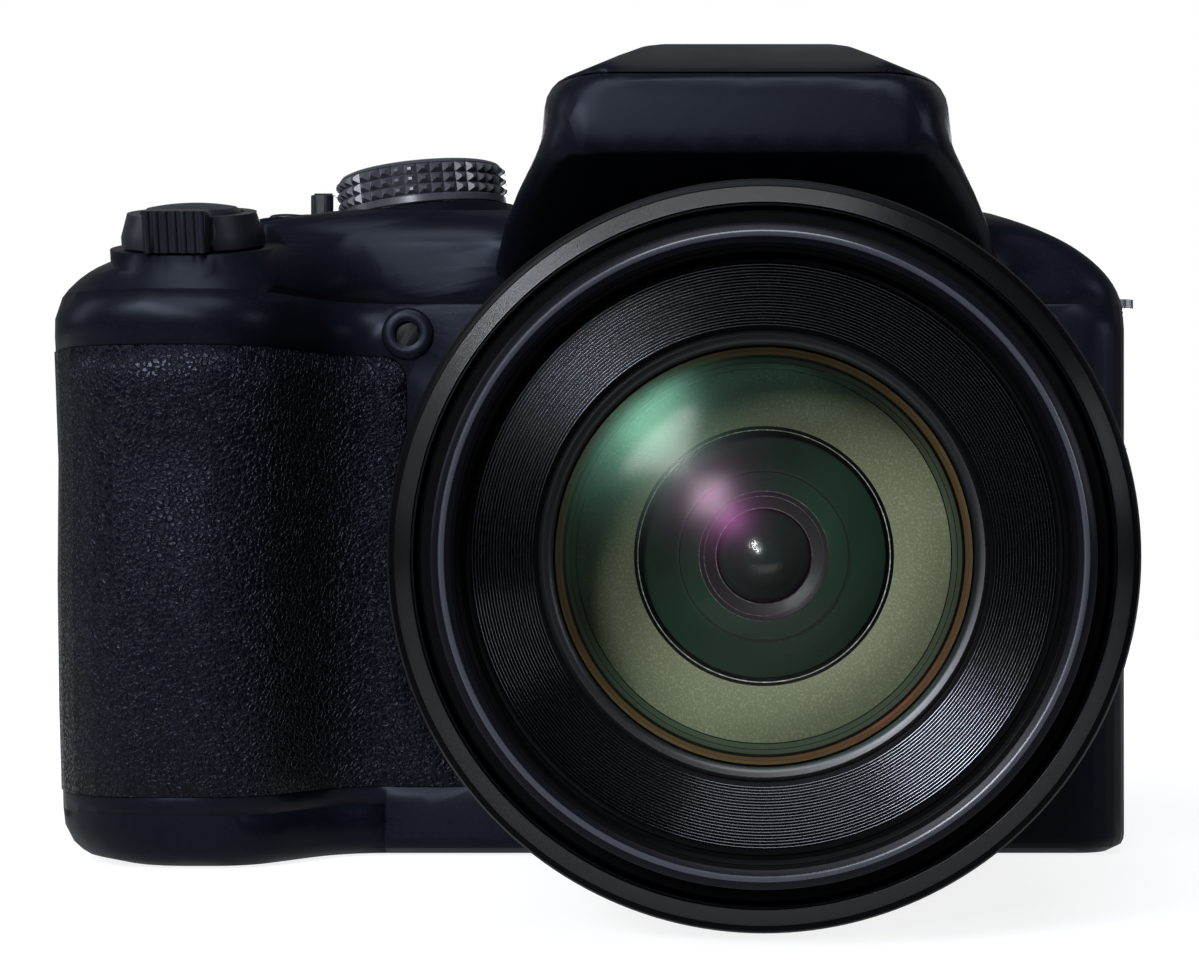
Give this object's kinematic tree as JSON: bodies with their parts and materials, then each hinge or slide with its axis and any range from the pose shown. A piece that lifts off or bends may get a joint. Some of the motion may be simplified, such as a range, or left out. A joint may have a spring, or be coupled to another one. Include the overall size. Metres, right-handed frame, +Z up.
{
  "type": "bridge camera",
  "caption": "Black bridge camera with a long fixed zoom lens, deep hand grip, viewfinder hump with pop-up flash, mode dial and rear screen.",
  "frame": {"origin": "mouth of the tripod socket, in the plane of the base and under the lens axis", "axes": "+X to the far side from the hand grip, -Y along the lens towards the subject, +Z up"},
  "size_m": [0.1303, 0.1192, 0.0943],
  "materials": {
    "body": "satin with a fine grain",
    "rubber": "leather grain",
    "barrel": "satin black",
    "control": "satin black",
    "bright": "fine turned",
    "glass": "coated",
    "screen": "polished",
    "baffle": "matt",
    "steel": "satin",
    "brass": "turned",
    "alloy": "bare",
    "inside": "matt"
  },
  "bodies": {
    "camera_body": {"front_shell": "body", "rear_shell": "body", "top_cover": "body", "bottom_cover": "body", "grip_rubber": "rubber", "thumb_rest": "rubber", "lens_base_ring": "barrel", "fixed_barrel": "barrel", "lens_mount": "baffle", "rear_element": "glass", "sensor_unit": "inside", "chassis": "alloy", "tripod_bush": "brass", "main_board": "inside", "lcd_panel": "screen", "lcd_window": "screen", "eyepiece_frame": "baffle", "eyecup": "rubber", "eyepiece_lens": "glass", "evf_display": "screen", "battery": "inside", "memory_card": "inside", "flash_capacitor": "inside", "zoom_motor": "steel", "strap_lugs": "steel", "af_lamp_lens": "screen", "terminal_sockets": "steel", "base_screws": "steel", "battery_door_pin": "steel"},
    "shutter_button": {"shutter_button": "bright"},
    "zoom_lever": {"zoom_lever": "control"},
    "mode_dial": {"mode_dial": "control"},
    "power_switch": {"power_switch": "control"},
    "movie_button": {"movie_button": "bright"},
    "fn_button": {"fn_button": "control"},
    "rear_dial": {"rear_dial": "control"},
    "lvf_button": {"lvf_button": "control"},
    "ae_lock_button": {"ae_lock_button": "control"},
    "playback_button": {"playback_button": "control"},
    "quick_menu_button": {"quick_menu_button": "control"},
    "display_button": {"display_button": "control"},
    "key_up": {"key_up": "control"},
    "key_down": {"key_down": "control"},
    "key_left": {"key_left": "control"},
    "key_right": {"key_right": "control"},
    "set_button": {"set_button": "control"},
    "flash": {"flash_head": "body", "flash_window": "glass"},
    "flash_button": {"flash_button": "control"},
    "diopter_dial": {"diopter_dial": "control"},
    "terminal_door": {"terminal_door": "rubber"},
    "battery_door": {"battery_door": "body"},
    "battery_latch": {"battery_latch": "control"},
    "zoom_stage_1": {"zoom_barrel_1": "barrel"},
    "zoom_stage_2": {"zoom_barrel_2": "barrel", "name_ring": "barrel", "front_element": "glass", "inner_baffle": "baffle", "second_element": "glass"}
  },
  "joints": [
    {"name": "shutter_press", "type": "slide", "parent": "camera_body", "child": "shutter_button", "axis": [0, 0.225, -0.9744], "range_m": [0, 0.0008], "stiffness_N_per_m": 700},
    {"name": "zoom_lever_turn", "type": "hinge", "parent": "camera_body", "child": "zoom_lever", "pos_m": [-0.065, -0.0242, 0.0702], "axis": [0, -0.225, 0.9744], "range_deg": [-25, 25], "stiffness_Nm_per_rad": 0.02},
    {"name": "mode_dial_turn", "type": "hinge", "parent": "camera_body", "child": "mode_dial", "pos_m": [-0.042, 0, 0.077], "axis": [-0.1132, 0, 0.9936], "continuous": true},
    {"name": "power_switch_slide", "type": "slide", "parent": "camera_body", "child": "power_switch", "axis": [0, -1, 0], "range_m": [0, 0.004]},
    {"name": "movie_button_press", "type": "slide", "parent": "camera_body", "child": "movie_button", "axis": [0, 0, -1], "range_m": [0, 0.0005], "stiffness_N_per_m": 700},
    {"name": "fn_button_press", "type": "slide", "parent": "camera_body", "child": "fn_button", "axis": [0, 0, -1], "range_m": [0, 0.0005], "stiffness_N_per_m": 700},
    {"name": "rear_dial_turn", "type": "hinge", "parent": "camera_body", "child": "rear_dial", "pos_m": [-0.0594, 0.0133, 0.057], "axis": [0, 0, 1], "continuous": true},
    {"name": "lvf_button_press", "type": "slide", "parent": "camera_body", "child": "lvf_button", "axis": [0, -1, 0], "range_m": [0, 0.0005], "stiffness_N_per_m": 700},
    {"name": "ae_lock_button_press", "type": "slide", "parent": "camera_body", "child": "ae_lock_button", "axis": [0, -1, 0], "range_m": [0, 0.0005], "stiffness_N_per_m": 700},
    {"name": "playback_button_press", "type": "slide", "parent": "camera_body", "child": "playback_button", "axis": [0, -1, 0], "range_m": [0, 0.0005], "stiffness_N_per_m": 700},
    {"name": "quick_menu_button_press", "type": "slide", "parent": "camera_body", "child": "quick_menu_button", "axis": [0, -1, 0], "range_m": [0, 0.0005], "stiffness_N_per_m": 700},
    {"name": "display_button_press", "type": "slide", "parent": "camera_body", "child": "display_button", "axis": [0, -1, 0], "range_m": [0, 0.0005], "stiffness_N_per_m": 700},
    {"name": "key_up_press", "type": "slide", "parent": "camera_body", "child": "key_up", "axis": [0, -1, 0], "range_m": [0, 0.0005], "stiffness_N_per_m": 700},
    {"name": "key_down_press", "type": "slide", "parent": "camera_body", "child": "key_down", "axis": [0, -1, 0], "range_m": [0, 0.0005], "stiffness_N_per_m": 700},
    {"name": "key_left_press", "type": "slide", "parent": "camera_body", "child": "key_left", "axis": [0, -1, 0], "range_m": [0, 0.0005], "stiffness_N_per_m": 700},
    {"name": "key_right_press", "type": "slide", "parent": "camera_body", "child": "key_right", "axis": [0, -1, 0], "range_m": [0, 0.0005], "stiffness_N_per_m": 700},
    {"name": "set_button_press", "type": "slide", "parent": "camera_body", "child": "set_button", "axis": [0, -1, 0], "range_m": [0, 0.0005], "stiffness_N_per_m": 700},
    {"name": "flash_raise", "type": "hinge", "parent": "camera_body", "child": "flash", "pos_m": [-0.002, -0.008, 0.0892], "axis": [-1, 0, 0], "range_deg": [0, 60]},
    {"name": "flash_button_press", "type": "slide", "parent": "camera_body", "child": "flash_button", "axis": [-1, 0, 0], "range_m": [0, 0.0005], "stiffness_N_per_m": 700},
    {"name": "diopter_turn", "type": "hinge", "parent": "camera_body", "child": "diopter_dial", "pos_m": [0.0166, 0.0125, 0.081], "axis": [1, 0, 0], "range_deg": [-120, 120]},
    {"name": "terminal_door_swing", "type": "hinge", "parent": "camera_body", "child": "terminal_door", "pos_m": [0.043, -0.0083, 0.036], "axis": [0, 0, -1], "range_deg": [0, 100]},
    {"name": "battery_door_swing", "type": "hinge", "parent": "camera_body", "child": "battery_door", "pos_m": [-0.051, -0.002, 0.0011], "axis": [0, -1, 0], "range_deg": [0, 90]},
    {"name": "battery_latch_slide", "type": "slide", "parent": "battery_door", "child": "battery_latch", "axis": [0, 1, 0], "range_m": [0, 0.003]},
    {"name": "zoom_stage_1_out", "type": "slide", "parent": "camera_body", "child": "zoom_stage_1", "axis": [0, -1, 0], "range_m": [0, 0.03]},
    {"name": "zoom_stage_2_out", "type": "slide", "parent": "zoom_stage_1", "child": "zoom_stage_2", "axis": [0, -1, 0], "range_m": [0, 0.03]}
  ],
  "couplings": [
    {"joint": "zoom_stage_2_out", "follows": "zoom_stage_1_out", "ratio": 1}
  ]
}
